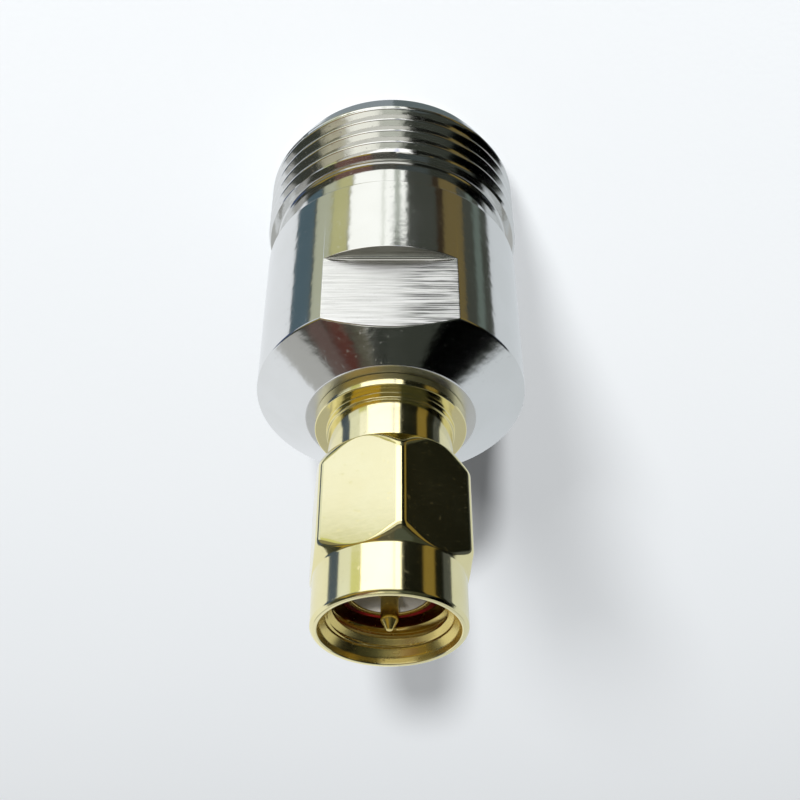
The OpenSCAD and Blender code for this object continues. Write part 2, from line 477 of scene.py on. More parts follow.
class RingGrid:
    """Rings of points round the axis, joined one to the next into a closed surface."""

    def __init__(self, angles: np.ndarray) -> None:
        """Takes the column angles, from 0 to a full turn inclusive."""
        self.angles = angles
        self.rows: list[np.ndarray] = []

    @staticmethod
    def columns(
        count: int, dense_at: Sequence[float] = (), spread: Sequence[float] = ()
    ) -> np.ndarray:
        """Even column angles, with more of them at chosen edges.

        Args:
            count: Number of even columns in a turn.
            dense_at: Angles of edges, in radians.
            spread: Offsets of the added columns from each edge, in radians.

        Returns:
            Sorted angles from 0 to a full turn.
        """
        even = np.linspace(0.0, TURN, count + 1)
        if not len(dense_at):
            return even
        added = np.add.outer(np.asarray(dense_at), np.asarray(spread)).ravel() % TURN
        nearest = np.abs(even[:, None] - added[None, :]).min(axis=1)
        apart = nearest > COLUMN_CLEARANCE * TURN / count
        apart[[0, -1]] = True
        return np.unique(np.concatenate([even[apart], added]))

    def spots(self, r: Span, z: Span) -> np.ndarray:
        """Radius and height at every column."""
        return np.stack(np.broadcast_arrays(r, z, self.angles)[:2], axis=-1).astype(float)

    def ring(self, r: Span, z: Span) -> None:
        """Adds one ring."""
        self.rows.append(self.spots(r, z))

    def path(self, corners: Sequence[Corner]) -> None:
        """Adds a run of corners, each eased by a short curve.

        Args:
            corners: Corners in order; the first and the last stay sharp.
        """
        rings = [self.spots(corner.r, corner.z) for corner in corners]
        for number, (corner, here) in enumerate(zip(corners, rings)):
            if corner.ease == 0.0 or number in (0, len(rings) - 1):
                self.rows.append(here)
                continue
            back, back_length = self._aim(here, rings[number - 1])
            ahead, ahead_length = self._aim(here, rings[number + 1])
            reach = np.minimum(corner.ease, EASE_ROOM * np.minimum(back_length, ahead_length))
            start, stop = here + back * reach, here + ahead * reach
            self.rows.append(here + back * np.minimum(GUARD_REACH * reach, GUARD_ROOM * back_length))
            self.rows.append(start)
            for t in EASE_STEPS:
                self.rows.append((1 - t) ** 2 * start + 2 * t * (1 - t) * here + t * t * stop)
            self.rows.append(stop)
            self.rows.append(here + ahead * np.minimum(GUARD_REACH * reach, GUARD_ROOM * ahead_length))

    @staticmethod
    def _aim(here: np.ndarray, there: np.ndarray) -> tuple[np.ndarray, np.ndarray]:
        """Unit direction and distance from each point to its neighbour."""
        step = there - here
        length = np.linalg.norm(step, axis=-1, keepdims=True)
        return step / np.maximum(length, TINY_LENGTH), length

    def build(self, name: str, looped: bool = True) -> bpy.types.Object:
        """Joins the rings into one mesh object.

        Args:
            name: Name of the object.
            looped: Whether the last ring joins the first, as in a tube.

        Returns:
            The object, linked to the scene, with smooth faces and sharp edges where the form turns.
        """
        grid = np.array(self.rows)
        radius, height = grid[..., 0], grid[..., 1]
        x, y = radius * np.cos(self.angles), radius * np.sin(self.angles)
        points = np.stack([x, y, height], -1) * MM
        index = np.arange(grid.shape[0] * grid.shape[1]).reshape(grid.shape[:2])
        lower = index if looped else index[:-1]
        upper = np.roll(index, -1, axis=0) if looped else index[1:]
        quads = np.stack([lower[:, :-1], lower[:, 1:], upper[:, 1:], upper[:, :-1]], -1)
        mesh = bpy.data.meshes.new(name)
        mesh.from_pydata(points.reshape(-1, 3).tolist(), [], quads.reshape(-1, 4).tolist())
        return finish_mesh(mesh, name)


def finish_mesh(mesh: bpy.types.Mesh, name: str) -> bpy.types.Object:
    """Welds a mesh, turns its faces outward and links it.

    Args:
        mesh: Raw mesh, in metres.
        name: Name of the new object.

    Returns:
        The linked object.
    """
    work = bmesh.new()
    work.from_mesh(mesh)
    bmesh.ops.remove_doubles(work, verts=work.verts, dist=WELD)
    loose = [edge for edge in work.edges if not edge.link_faces]
    bmesh.ops.delete(work, geom=loose, context="EDGES")
    bmesh.ops.recalc_face_normals(work, faces=work.faces)
    work.to_mesh(mesh)
    work.free()
    mesh.shade_smooth()
    mesh.set_sharp_from_angle(angle=SHARP_ANGLE)
    made = bpy.data.objects.new(name, mesh)
    bpy.context.scene.collection.objects.link(made)
    return made


def soft_lower(first: Span, second: Span, width: float) -> np.ndarray:
    """The lower of two heights, with the crossing rounded off over a width."""
    blend = np.maximum(width - np.abs(first - second), 0.0) / width
    return np.minimum(first, second) - blend * blend * width / 4.0


@dataclass(frozen=True)
class ScrewThread:
    """A right-hand 60 degree thread, cut into a shaft or into a bore."""

    pitch: float
    crest_r: float
    root_r: float
    start: float
    stop: float
    crest_share: float = 0.125
    root_share: float = 0.167
    blunt: float = 0.02
    fade: float = 0.0
    fade_power: float = 0.7
    phase: float = 0.0

    def flank(self) -> Limits:
        """Shares of the pitch, from the middle of the crest, at which a flank starts and ends."""
        return 0.5 * self.crest_share, 0.5 - 0.5 * self.root_share

    def offsets(self) -> np.ndarray:
        """Places round a bend of the form that blunt it."""
        return self.blunt * np.array([-1.0, -0.5, 0.0, 0.5, 1.0])

    def knots(self) -> np.ndarray:
        """Places within one pitch, as shares of it, where a ring is laid."""
        crest, root = self.flank()
        bends = np.add.outer([crest, root], self.offsets()).ravel()
        guards = [crest + 1.5 * self.blunt, root - 1.5 * self.blunt]
        half = np.concatenate([[0.0], bends, guards, np.linspace(crest, root, 4)[1:-1], [0.5]])
        return np.unique(np.round(np.concatenate([half, 1.0 - half[1:-1]]), LEVEL_DIGITS))

    def radius(self, angle: np.ndarray, z: np.ndarray) -> np.ndarray:
        """Radius of the thread form at points of its surface.

        Args:
            angle: Column angles.
            z: Height at each column.

        Returns:
            Radius at each column.
        """
        share = (z - self.start) / self.pitch - angle / TURN + self.phase
        crest, root = self.flank()
        depth = np.zeros_like(z)
        offsets = self.offsets()
        for offset in offsets:
            away = np.abs(share + offset - np.round(share + offset))
            depth += np.clip((away - crest) / (root - crest), 0.0, 1.0) / len(offsets)
        if self.fade > 0.0:
            for from_end in (z - self.start, self.stop - z):
                depth *= np.clip(from_end / self.fade, 0.0, 1.0) ** self.fade_power
        return self.crest_r + (self.root_r - self.crest_r) * depth

    def heights(self, angle: np.ndarray) -> list[np.ndarray]:
        """Heights of the rings from start to stop, each rising one pitch a turn."""
        turns = int(math.ceil((self.stop - self.start) / self.pitch)) + 2
        levels = np.add.outer(np.arange(-2, turns), self.knots()).ravel()
        made = []
        for level in np.unique(np.round(levels, LEVEL_DIGITS)):
            rise = self.start + (level - self.phase + angle / TURN) * self.pitch
            made.append(np.clip(rise, self.start, self.stop))
        return made


class Piece:
    """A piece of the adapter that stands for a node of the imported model."""

    @staticmethod
    def settle(made: bpy.types.Object, node: str, body: Body, finish: Finish) -> bpy.types.Object:
        """Dresses a piece and hangs it on its body in place of its node.

        Args:
            made: The piece's object.
            node: Node that the piece stands for.
            body: Body that the piece rides on.
            finish: Finish of the piece.

        Returns:
            The same object.
        """
        finish.dress(made)
        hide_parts(node)
        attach(made, body.value)
        LOG.info("%s: %d faces, rides on %s", made.name, len(made.data.polygons), body.value)
        return made


@dataclass
class JackShell(Piece):
    """The turned shell of the N jack: tapered lead, thread, relief, barrel, wrench flats and cone."""

    lead_r: float = 7.05
    lead_land: float = 0.1
    thread_r: float = 7.85
    thread_root_r: float = 7.2
    thread_pitch: float = INCH / 24.0
    thread_phase: float = 0.68
    thread_fade: float = 0.3
    relief_r: float = 7.1
    barrel_r: float = 7.65
    cone_end_r: float = 4.8
    flat_half: float = 6.7
    bore_r: float = 4.05
    land_r: float = 3.5
    rear_bore_r: float = 4.0
    mouth_chamfer: float = 0.5
    edge: float = 0.15
    root_rise: float = 0.1
    root_run: float = 0.2
    z_lead: float = 1.85
    z_wall: float = 6.15
    z_barrel: float = 8.35
    z_flat: float = 13.9
    z_shoulder: float = 18.4
    z_end: float = 20.07
    z_land: float = 9.1
    z_seat: float = 11.0
    flat_blunt: float = 0.02
    flat_fillet: float = 0.28

    def columns(self) -> np.ndarray:
        """Column angles, close together along the edges of the wrench flats."""
        half = math.acos(self.flat_half / self.barrel_r)
        edges = [side + turn for side in (0.25 * TURN, 0.75 * TURN) for turn in (-half, half)]
        spread = np.radians([-0.6, -0.35, -0.2, -0.1, 0.0, 0.1, 0.2, 0.35, 0.6])
        return RingGrid.columns(180, edges, spread)

    def thread_rows(self, grid: RingGrid) -> None:
        """Adds the coupling thread, from its tapered lead to the wall behind it."""
        thread = ScrewThread(
            pitch=self.thread_pitch,
            crest_r=self.thread_r,
            root_r=self.thread_root_r,
            start=self.z_lead + self.lead_land,
            stop=self.z_wall,
            fade=self.thread_fade,
            phase=self.thread_phase,
        )
        for z in thread.heights(grid.angles):
            rear = self.thread_r - np.maximum(z - (self.z_wall - self.edge), 0.0)
            grid.ring(np.minimum(thread.radius(grid.angles, z), rear), z)

    def build(self, finish: Finish) -> bpy.types.Object:
        """Builds and dresses the shell.

        Args:
            finish: Plating of the shell.

        Returns:
            The shell's object.
        """
        grid = RingGrid(self.columns())
        plane_r = self.flat_half / np.maximum(np.abs(np.sin(grid.angles)), LEAST_SINE)
        flat_r = soft_lower(self.barrel_r, plane_r, self.flat_blunt)
        flat_r = np.where(plane_r > self.barrel_r + self.flat_blunt, self.barrel_r, flat_r)
        slope = (self.z_end - self.z_shoulder) / (self.barrel_r - self.cone_end_r)
        z_cone = self.z_shoulder + (self.barrel_r - flat_r) * slope
        mouth_r = self.bore_r + self.mouth_chamfer
        grid.path(
            [
                Corner(self.rear_bore_r, self.z_end),
                Corner(self.rear_bore_r, self.z_seat, 0.1),
                Corner(self.land_r, self.z_seat, 0.05),
                Corner(self.land_r, self.z_land, 0.08),
                Corner(self.bore_r, self.z_land, 0.08),
                Corner(self.bore_r, self.mouth_chamfer, 0.06),
                Corner(mouth_r, 0.0, 0.06),
                Corner(self.lead_r - self.edge, 0.0, 0.06),
                Corner(self.lead_r, self.edge, 0.06),
                Corner(self.thread_r, self.z_lead, 0.08),
                Corner(self.thread_r, self.z_lead + self.lead_land),
            ]
        )
        self.thread_rows(grid)
        grid.path(
            [
                Corner(self.thread_r - self.edge, self.z_wall),
                Corner(self.relief_r + self.root_rise, self.z_wall, 0.1),
                Corner(self.relief_r, self.z_wall + self.root_run, 0.2),
                Corner(self.relief_r, self.z_barrel, 0.05),
                Corner(self.barrel_r - self.edge, self.z_barrel, 0.05),
                Corner(self.barrel_r, self.z_barrel + self.edge, 0.06),
                Corner(self.barrel_r, self.z_flat, 0.03),
                Corner(flat_r, self.z_flat, self.flat_fillet),
                Corner(flat_r, z_cone, 0.07),
                Corner(self.cone_end_r, self.z_end, 0.06),
                Corner(self.rear_bore_r, self.z_end),
            ]
        )
        return self.settle(grid.build("jack_shell_turned"), "n_shell", Body.ADAPTER, finish)


@dataclass
class TurnedTube(Piece):
    """A plain turned piece, given by its profile."""

    name: str
    node: str
    body: Body
    profile: tuple[tuple[float, float, float], ...]
    looped: bool = True
    columns: int = 144

    def build(self, finish: Finish) -> bpy.types.Object:
        """Turns the profile and dresses it.

        Args:
            finish: Finish of the piece.

        Returns:
            The piece's object.
        """
        grid = RingGrid(RingGrid.columns(self.columns))
        corners = [Corner(r, z, ease) for r, z, ease in self.profile]
        if self.looped:
            (r0, z0, _), (r1, z1, _) = self.profile[0], self.profile[-1]
            seam = Corner(0.5 * (r0 + r1), 0.5 * (z0 + z1))
            corners = [seam] + corners + [seam]
        grid.path(corners)
        return self.settle(grid.build(self.name, self.looped), self.node, self.body, finish)


@dataclass
class SocketContact(Piece):
    """The centre socket of the N jack, with four slots that spring it."""

    socket_r: float = 1.52
    hole_r: float = 0.82
    hole_depth: float = 4.6
    shank_r: float = 1.05
    stub_hole_r: float = 0.495
    stub_depth: float = 2.5
    slot_width: float = 0.24
    slot_length: float = 3.4
    chamfer: float = 0.25
    z_tip: float = 4.2
    z_shank: float = 9.27
    z_joint: float = 14.97

    def slot_cutter(self, turn: float) -> bpy.types.Object:
        """A thin bar across the socket, as wide as a slot."""
        mesh = bpy.data.meshes.new("slot_bar")
        work = bmesh.new()
        bmesh.ops.create_cube(work, size=1.0)
        size = Vector((4.0 * self.socket_r, self.slot_width, 2.0 * self.slot_length)) * MM
        place = Matrix.Translation((0.0, 0.0, self.z_tip * MM)) @ Matrix.Rotation(turn, 4, "Z")
        bmesh.ops.transform(work, matrix=place @ Matrix.Diagonal((*size, 1.0)), verts=work.verts)
        work.to_mesh(mesh)
        work.free()
        bar = bpy.data.objects.new("slot_bar", mesh)
        bpy.context.scene.collection.objects.link(bar)
        return bar

    def build(self, finish: Finish) -> bpy.types.Object:
        """Turns the contact, cuts its slots and dresses it.

        Args:
            finish: Plating of the contact.

        Returns:
            The contact's object.
        """
        z_hole, z_stub = self.z_tip + self.hole_depth, self.z_joint - self.stub_depth
        grid = RingGrid(RingGrid.columns(96))
        grid.path(
            [
                Corner(0.0, z_hole),
                Corner(self.hole_r, z_hole, 0.05),
                Corner(self.hole_r, self.z_tip, 0.08),
                Corner(self.socket_r - self.chamfer, self.z_tip, 0.06),
                Corner(self.socket_r, self.z_tip + self.chamfer, 0.08),
                Corner(self.socket_r, self.z_shank, 0.05),
                Corner(self.shank_r, self.z_shank, 0.05),
                Corner(self.shank_r, self.z_joint, 0.05),
                Corner(self.stub_hole_r, self.z_joint, 0.05),
                Corner(self.stub_hole_r, z_stub, 0.05),
                Corner(0.0, z_stub),
            ]
        )
        made = grid.build("jack_socket_slotted", looped=False)
        bars = [self.slot_cutter(turn) for turn in (TURN / 8.0, 3.0 * TURN / 8.0)]
        for bar in bars:
            cut = made.modifiers.new("slot", "BOOLEAN")
            cut.operation = "DIFFERENCE"
            cut.solver = "EXACT"
            cut.object = bar
        whole = made.evaluated_get(bpy.context.evaluated_depsgraph_get())
        slotted = bpy.data.meshes.new_from_object(whole)
        made.modifiers.clear()
        made.data = slotted
        slotted.set_sharp_from_angle(angle=SHARP_ANGLE)
        for bar in bars:
            bpy.data.objects.remove(bar)
        return self.settle(made, "n_socket_contact", Body.ADAPTER, finish)


@dataclass
class CouplingNut(Piece):
    """The captive hex nut with its round collar and its inner thread."""

    half_flat: float = 4.0
    corner_r: float = 4.619
    corner_blunt: float = 0.32
    hex_ease: float = 0.27
    turn_deg: float = 22.5
    rear_r: float = 3.975
    collar_r: float = 3.96
    collar_edge: float = 0.14
    mouth_r: float = 3.6
    sink_r: float = 3.5
    relief_r: float = 3.2
    minor_r: float = 2.88
    major_r: float = 3.175
    thread_pitch: float = INCH / 36.0
    thread_phase: float = 0.258
    run_in_slope: float = 1.7
    run_out_slope: float = 2.0
    hole_r: float = 2.78
    groove_r: float = 3.04
    z_rear: float = 23.88
    z_rear_corner: float = 25.03
    z_front_corner: float = 29.68
    z_collar: float = 30.43
    z_mouth: float = 33.23
    z_sink: float = 32.88
    z_bore: float = 32.54
    z_lead: float = 32.43
    z_thread_end: float = 31.33
    z_relief: float = 30.53
    z_groove: float = 24.88
    groove_width: float = 0.6

    def columns(self) -> np.ndarray:
        """Column angles, close together along the six edges of the hex."""
        edges = np.radians(self.turn_deg + 60.0 * np.arange(6))
        steps = np.array([0.3, 0.8, 1.4, 2.0, 2.6, 3.2, 4.0])
        spread = np.radians(np.concatenate([-steps[::-1], steps]))
        return RingGrid.columns(120, edges, spread)

    def hex_radius(self, angles: np.ndarray) -> np.ndarray:
        """Radius of the hex at each column, its edges slightly rounded."""
        away = (angles - math.radians(self.turn_deg)) % (TURN / 6.0)
        near = np.minimum(away, TURN / 6.0 - away)
        own = self.half_flat / np.cos(TURN / 12.0 - near)
        other = self.half_flat / np.cos(TURN / 12.0 + near)
        return soft_lower(own, other, self.corner_blunt)

    def thread_rows(self, grid: RingGrid) -> None:
        """Adds the inner thread, from the plain bore in to its relief."""
        thread = ScrewThread(
            pitch=self.thread_pitch,
            crest_r=self.minor_r,
            root_r=self.major_r,
            start=self.z_thread_end,
            stop=self.z_lead,
            root_share=0.125,
            crest_share=0.25,
            phase=self.thread_phase,
        )
        for z in reversed(thread.heights(grid.angles)):
            run_in = self.relief_r - (self.z_lead - z) * self.run_in_slope
            run_out = self.relief_r - (z - self.z_thread_end) * self.run_out_slope
            grid.ring(np.maximum(thread.radius(grid.angles, z), np.maximum(run_in, run_out)), z)

    def build(self, finish: Finish) -> bpy.types.Object:
        """Builds and dresses the nut.

        Args:
            finish: Plating of the nut.

        Returns:
            The nut's object.
        """
        grid = RingGrid(self.columns())
        hex_r = self.hex_radius(grid.angles)
        rear_slope = (self.z_rear_corner - self.z_rear) / (self.corner_r - self.rear_r)
        front_slope = (self.z_collar - self.z_front_corner) / (self.corner_r - self.collar_r)
        z_rear_edge = self.z_rear + np.maximum(hex_r - self.rear_r, 0.0) * rear_slope
        z_front_edge = self.z_collar - (hex_r - self.collar_r) * front_slope
        z_groove_end = self.z_groove + self.groove_width
        grid.path(
            [
                Corner(self.hole_r, self.z_relief),
                Corner(self.hole_r, z_groove_end, 0.03),
                Corner(self.groove_r, z_groove_end, 0.03),
                Corner(self.groove_r, self.z_groove, 0.03),
                Corner(self.hole_r, self.z_groove, 0.03),
                Corner(self.hole_r, self.z_rear, 0.1),
                Corner(np.minimum(hex_r, self.rear_r), self.z_rear, 0.08),
                Corner(hex_r, z_rear_edge, self.hex_ease),
                Corner(hex_r, z_rear_edge + 2.0 * self.hex_ease),
                Corner(hex_r, z_front_edge - 2.0 * self.hex_ease),
                Corner(hex_r, z_front_edge, self.hex_ease),
                Corner(self.collar_r, self.z_collar, 0.06),
                Corner(self.collar_r, self.z_mouth - self.collar_edge, 0.07),
                Corner(self.collar_r - self.collar_edge, self.z_mouth, 0.05),
                Corner(self.mouth_r, self.z_mouth, 0.05),
                Corner(self.sink_r, self.z_sink, 0.06),
                Corner(self.relief_r, self.z_bore, 0.05),
                Corner(self.relief_r, self.z_lead),
            ]
        )
        self.thread_rows(grid)
        grid.path(
            [
                Corner(self.relief_r, self.z_thread_end),
                Corner(self.relief_r, self.z_relief, 0.1),
                Corner(self.hole_r, self.z_relief),
            ]
        )
        return self.settle(grid.build("coupling_nut_turned"), "coupling_nut", Body.NUT, finish)


@dataclass(frozen=True)
class Card:
    """A card of the studio surround, seen only in reflections.

    Its place is a turn about the axis, in degrees to the right of the camera, and a span along the
    axis, from -1 ahead of the plug to 1 behind the jack.
    """

    name: str
    turn: tuple[float, float]
    along: tuple[float, float]
    tone: Colour
    soft: float = 2.0


CARDS = (
    Card("right_tent", (101.0, 180.0), (-1.0, 1.0), (0.63, 0.67, 0.70), 4.0),
    Card("dark_front", (-98.0, 101.0), (-1.0, 1.0), (0.055, 0.06, 0.05)),
    Card("dark_low", (-104.0, 112.0), (-1.0, -0.5), (0.04, 0.045, 0.036), 8.0),
    Card("dark_near", (18.0, 101.0), (-0.4, 0.64), (0.008, 0.009, 0.007)),
    Card("blue_far", (-97.0, -76.0), (0.64, 1.0), (0.08, 0.125, 0.15)),
    Card("blue_near", (-99.0, -80.0), (-0.35, 0.64), (0.07, 0.10, 0.185)),
    Card("olive_far", (-74.0, -57.0), (0.64, 1.0), (0.45, 0.47, 0.35)),
    Card("mustard_far", (-57.0, -40.0), (0.64, 1.0), (0.50, 0.49, 0.24), 4.0),
    Card("pale_near", (-80.0, -57.0), (0.25, 0.64), (0.76, 0.82, 0.90)),
    Card("olive_near", (-58.0, -43.0), (0.25, 0.53), (0.62, 0.66, 0.34)),
    Card("white_near", (-58.0, -41.0), (0.53, 0.64), (1.0, 1.06, 1.25)),
    Card("soft_box_near", (-42.0, 17.0), (0.25, 0.64), (1.85, 1.85, 1.85), 3.0),
    Card("soft_box_far", (-39.0, 14.0), (0.64, 1.0), (1.16, 1.18, 1.13), 3.0),
    Card("slat_far", (3.0, 8.0), (0.64, 1.0), (0.46, 0.50, 0.44)),
    Card("slat_near", (4.0, 8.0), (0.3, 0.64), (0.95, 1.0, 1.35)),
    Card("thin_slat", (-9.0, -6.0), (0.64, 1.0), (0.84, 0.87, 0.80)),
    Card("half_shade", (0.0, 24.0), (0.64, 0.725), (0.07, 0.075, 0.07), 5.0),
    Card("black_post", (42.0, 49.0), (0.64, 1.0), (0.035, 0.025, 0.015)),
    Card("amber_far", (49.0, 69.0), (0.64, 1.0), (0.15, 0.115, 0.047)),
    Card("amber_near", (50.0, 69.0), (-0.2, 0.64), (0.21, 0.155, 0.045), 5.0),
    Card("grey_far", (82.0, 90.0), (0.64, 1.0), (0.13, 0.165, 0.145), 4.0),
    Card("grey_near", (85.0, 101.0), (-0.2, 0.64), (0.07, 0.08, 0.10), 4.0),
    Card("olive_mid", (-76.0, -42.0), (-0.22, 0.25), (0.24, 0.23, 0.16), 4.0),
    Card("pale_mid", (-42.0, 14.0), (-0.22, 0.25), (0.80, 0.80, 0.74), 8.0),
    Card("olive_low", (-76.0, -50.0), (-0.90, -0.82), (0.47, 0.45, 0.33), 6.0),
    Card("white_low", (-50.0, -9.0), (-0.95, -0.85), (1.0, 1.0, 0.90), 12.0),
    Card("pale_low", (-9.0, 20.0), (-0.95, -0.85), (0.55, 0.57, 0.50), 12.0),
    Card("red_wall", (-60.0, -20.0), (-0.85, -0.71), (0.18, 0.10, 0.09), 6.0),
    Card("grey_wall", (-20.0, 6.0), (-0.85, -0.71), (0.09, 0.09, 0.08), 4.0),
    Card("blue_wall", (6.0, 38.0), (-0.85, -0.71), (0.07, 0.085, 0.085), 4.0),
    Card("amber_low", (-76.0, -18.0), (-0.71, -0.4), (0.38, 0.28, 0.06), 4.0),
    Card("grey_low", (-18.0, 18.0), (-0.71, -0.4), (0.145, 0.14, 0.12), 4.0),
    Card("red_low", (-98.0, -84.0), (-1.0, -0.80), (0.125, 0.085, 0.075), 4.0),
    Card("rust_low", (-84.0, -70.0), (-1.0, -0.87), (0.09, 0.026, 0.02), 4.0),
    Card("moss_low", (-68.0, -48.0), (-1.0, -0.93), (0.08, 0.076, 0.05), 6.0),
    Card("shade_low", (-46.0, -12.0), (-1.0, -0.955), (0.026, 0.03, 0.024), 8.0),
    Card("pale_side_low", (-122.0, -99.0), (-0.83, -0.62), (0.44, 0.445, 0.43), 5.0),
    Card("black_low", (70.0, 108.0), (-1.0, -0.4), (0.0, 0.0, 0.0), 6.0),
    Card("grey_back_left", (-180.0, -145.0), (-1.0, -0.5), (0.46, 0.47, 0.46), 20.0),
    Card("grey_back_right", (145.0, 180.0), (-1.0, -0.5), (0.46, 0.47, 0.46), 20.0),
    Card("blue_back_left", (-180.0, -110.0), (0.86, 1.0), (0.25, 0.29, 0.31), 10.0),
    Card("blue_back_right", (110.0, 180.0), (0.86, 1.0), (0.12, 0.15, 0.155), 30.0),
)


@dataclass(frozen=True)
class Lamp:
    """A soft disk lamp."""

    name: str
    at: Place
    size: float
    watts: float


LAMPS = (
    Lamp("key_lamp", (0.045, -1.08, 0.47), 0.08, 18.5),
    Lamp("side_lamp", (0.31, -0.93, 0.45), 0.24, 10.5),
)


@dataclass
class Studio:
    """Floor, lamps, surround and camera."""

    floor_half: float = 1.5
    floor_colour: Colour = (0.86, 0.885, 0.905)
    floor_deep: Colour = (0.84, 0.87, 0.895)
    floor_cloud_rate: float = 0.03
    floor_tooth_rate: float = 3.0
    floor_tooth_relief: float = 0.004
    horizon: Colour = (0.86, 0.89, 0.91)
    backdrop: Limits = (130.0, 420.0)
    lamps: tuple[Lamp, ...] = LAMPS
    lamp_aim: Place = (0.0, 0.0, 0.016)
    sky_level: float = 0.40
    shade_level: float = 0.06
    overhead: Limits = (0.4, 0.65)
    tent: Colour = (0.82, 0.85, 0.88)
    cards: tuple[Card, ...] = CARDS
    card_along_soft: float = 0.035
    camera_at: Place = (-0.00052, -0.0515, 0.06003)
    camera_pitch_deg: float = 51.15
    camera_lens: float = 52.02
    camera_clip: Limits = (0.001, 20.0)

    def floor(self) -> None:
        """Lays the pale floor, which takes the shadow, fades to the backdrop and isn't mirrored."""
        mesh = bpy.data.meshes.new("studio_floor")
        half = self.floor_half
        corners = [(-half, -half, 0.0), (half, -half, 0.0), (half, half, 0.0), (-half, half, 0.0)]
        mesh.from_pydata(corners, [], [(0, 1, 2, 3)])
        plane = bpy.data.objects.new("studio_floor", mesh)
        bpy.context.scene.collection.objects.link(plane)
        paper = bpy.data.materials.new("studio_paper")
        paper.use_nodes = True
        sheet = NodeSheet(paper.node_tree)
        point = Finish.point(sheet)
        cloud = sheet.noise(point, self.floor_cloud_rate, 3.0)
        tooth = sheet.noise(point, self.floor_tooth_rate, 3.0) * self.floor_tooth_relief
        colour = sheet.blend(cloud, rgba(self.floor_deep), rgba(self.floor_colour))
        relief = sheet.node("ShaderNodeBump", None, {"Height": tooth, "Distance": MM})
        surface = {"Base Color": colour, "Roughness": 0.9, "Specular IOR Level": 0.05, "Normal": relief}
        lit = sheet.node("ShaderNodeBsdfPrincipled", None, surface)
        glow = {"Color": rgba(self.horizon), "Strength": 1.0}
        plain = sheet.node("ShaderNodeEmission", None, glow)
        x, y, _ = sheet.split(point)
        far = sheet.between(sheet.off_axis(x, y), *self.backdrop)
        rays = sheet.node("ShaderNodeLightPath", out="Is Camera Ray")
        paint = sheet.node("ShaderNodeMixShader", None, {0: far * rays, 1: lit, 2: plain})
        sheet.node("ShaderNodeOutputMaterial", None, {"Surface": paint})
        mesh.materials.append(paper)
        plane.visible_glossy = False
        LOG.info("studio_floor: staged")

    def light(self) -> None:
        """Hangs the soft lamps, whose shadows fall below and to the right in the picture."""
        for lamp in self.lamps:
            disk = bpy.data.lights.new(lamp.name, "AREA")
            disk.shape = "DISK"
            disk.size = lamp.size
            disk.energy = lamp.watts
            made = bpy.data.objects.new(lamp.name, disk)
            made.location = lamp.at
            aim = Vector(self.lamp_aim) - Vector(lamp.at)
            made.rotation_euler = aim.to_track_quat("-Z", "Y").to_euler()
            made.visible_glossy = False
            bpy.context.scene.collection.objects.link(made)

    @staticmethod
    def inside(sheet: NodeSheet, value: Wire, span: Limits, soft: float, ends: float) -> Feed:
        """A soft mask of a span of values, open where the span reaches the ends of the scale.

        Args:
            sheet: Sheet of the world.
            value: Place on the scale.
            span: Lowest and highest value of the span.
            soft: Width of the soft edges.
            ends: The scale goes from minus this value to this value.

        Returns:
            The mask, from 0 to 1.
        """
        low, high = span
        mask: Feed = 1.0
        if low > -ends:
            mask = sheet.between(value, low - soft / 2.0, low + soft / 2.0)
        if high < ends:
            mask = (1.0 - sheet.between(value, high - soft / 2.0, high + soft / 2.0)) * mask
        return mask

    def surround(self) -> None:
        """Sets the world: soft light from the sides, and a tent with cards that only gloss sees."""
        world = bpy.data.worlds.new("studio_surround")
        bpy.context.scene.world = world
        world.use_nodes = True
        world.cycles.sampling_method = "NONE"
        sheet = NodeSheet(world.node_tree)
        look = sheet.node("ShaderNodeTexCoord", out="Generated")
        x, y, z = sheet.split(look)
        along = -z
        turn = sheet.math("ARCTAN2", -x, -y) * math.degrees(1.0)
        tent: Feed = rgba(self.tent)
        for card in self.cards:
            mask = self.inside(sheet, turn, card.turn, card.soft, 180.0)
            mask = mask * self.inside(sheet, along, card.along, self.card_along_soft, 1.0)
            tent = sheet.blend(mask, tent, rgba(card.tone))
        rays = sheet.node("ShaderNodeLightPath", out="Is Camera Ray")
        sky, shade = rgba((self.sky_level,) * 3), rgba((self.shade_level,) * 3)
        even = sheet.blend(sheet.between(z, *self.overhead), sky, shade)
        seen = sheet.blend(rays, even, rgba(self.horizon))
        mirrored = sheet.blend(rays.beside("Is Glossy Ray"), seen, tent)
        light = sheet.node("ShaderNodeBackground", None, {"Color": mirrored, "Strength": 1.0})
        sheet.node("ShaderNodeOutputWorld", None, {"Surface": light})

    def camera(self) -> None:
        """Sets the camera at the picture's viewing angle, with the jack at the top of the frame."""
        lens = bpy.data.cameras.new("picture_camera")
        lens.lens = self.camera_lens
        lens.sensor_width = 36.0
        lens.clip_start, lens.clip_end = self.camera_clip
        made = bpy.data.objects.new("picture_camera", lens)
        pitch = math.radians(self.camera_pitch_deg)
        right = Vector((-1.0, 0.0, 0.0))
        up = Vector((0.0, -math.cos(pitch), -math.sin(pitch)))
        back = right.cross(up)
        turn = Matrix((right, up, back)).transposed().to_4x4()
        made.matrix_world = Matrix.Translation(self.camera_at) @ turn
        bpy.context.scene.collection.objects.link(made)
        bpy.context.scene.camera = made

    def build(self) -> None:
        """Sets up the whole studio."""
        self.floor()
        self.light()
        self.surround()
        self.camera()
        bpy.context.scene.view_settings.view_transform = "Standard"


